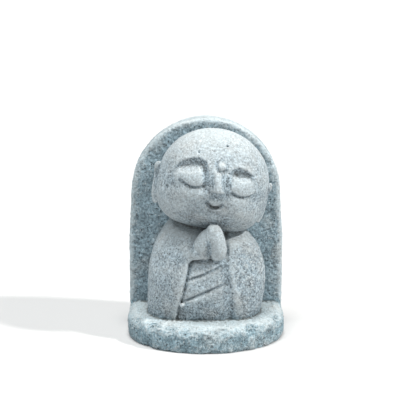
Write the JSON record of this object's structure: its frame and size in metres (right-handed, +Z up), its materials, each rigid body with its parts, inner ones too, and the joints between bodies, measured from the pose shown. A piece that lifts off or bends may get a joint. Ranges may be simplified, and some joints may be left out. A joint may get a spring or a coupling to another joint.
{
  "type": "jizo statue",
  "caption": "Palm-sized stone Jizo figure with joined hands and a tilted round head, in front of an arched back slab on a rounded plinth, all one block.",
  "frame": {"origin": "middle of the flat underside's bounding rectangle, on the surface the statue stands on", "axes": "+Z up, -Y the way the figure faces, +X to the right of someone facing the figure"},
  "size_m": [0.036, 0.03, 0.049],
  "materials": {
    "stone": "matt, fine-grained pale blue-grey sandstone with dark and white specks"
  },
  "bodies": {
    "root": {"jizo_statue": "stone"}
  },
  "joints": []
}
